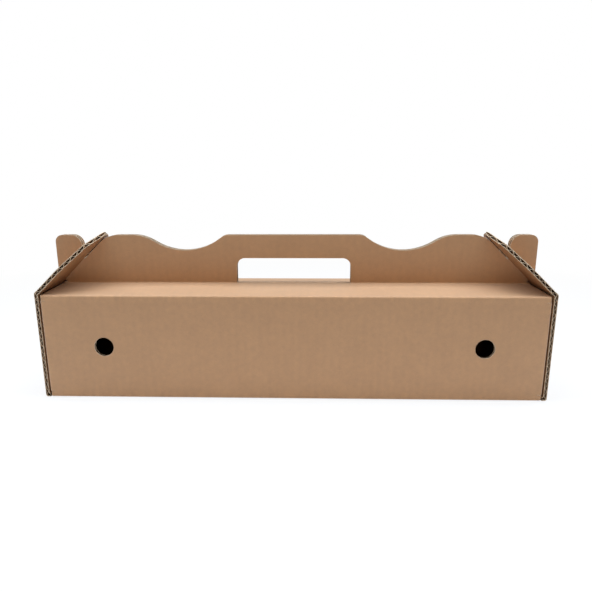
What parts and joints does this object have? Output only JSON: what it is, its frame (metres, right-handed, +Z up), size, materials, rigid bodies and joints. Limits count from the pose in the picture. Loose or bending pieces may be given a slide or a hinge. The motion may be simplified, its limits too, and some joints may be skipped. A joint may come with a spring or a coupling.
{
  "type": "flatbread box",
  "caption": "Long carry box folded from a sheet of corrugated board, with a double-walled handle, a hand hole, steam vents in the front wall and end flaps that lock over the handle's ears.",
  "frame": {"origin": "centre of the base's underside", "axes": "+X to the right along the front wall, +Y from the front to the rear, +Z up towards the handle"},
  "size_m": [0.4084, 0.076, 0.1321],
  "materials": {
    "board": "uncoated brown corrugated board, matt, with faint flute lines",
    "flap_board": "uncoated brown corrugated board, matt, with open flutes at the cut edges"
  },
  "bodies": {
    "carton": {"carton": "board"},
    "left_lock_flap": {"left_lock_flap": "flap_board"},
    "right_lock_flap": {"right_lock_flap": "flap_board"}
  },
  "joints": [
    {"name": "left_flap_fold", "type": "hinge", "parent": "carton", "child": "left_lock_flap", "pos_m": [-0.2027, 0, 0.0865], "axis": [0, -1, 0], "range_deg": [0, 135]},
    {"name": "right_flap_fold", "type": "hinge", "parent": "carton", "child": "right_lock_flap", "pos_m": [0.2027, 0, 0.0865], "axis": [0, 1, 0], "range_deg": [0, 135]}
  ]
}
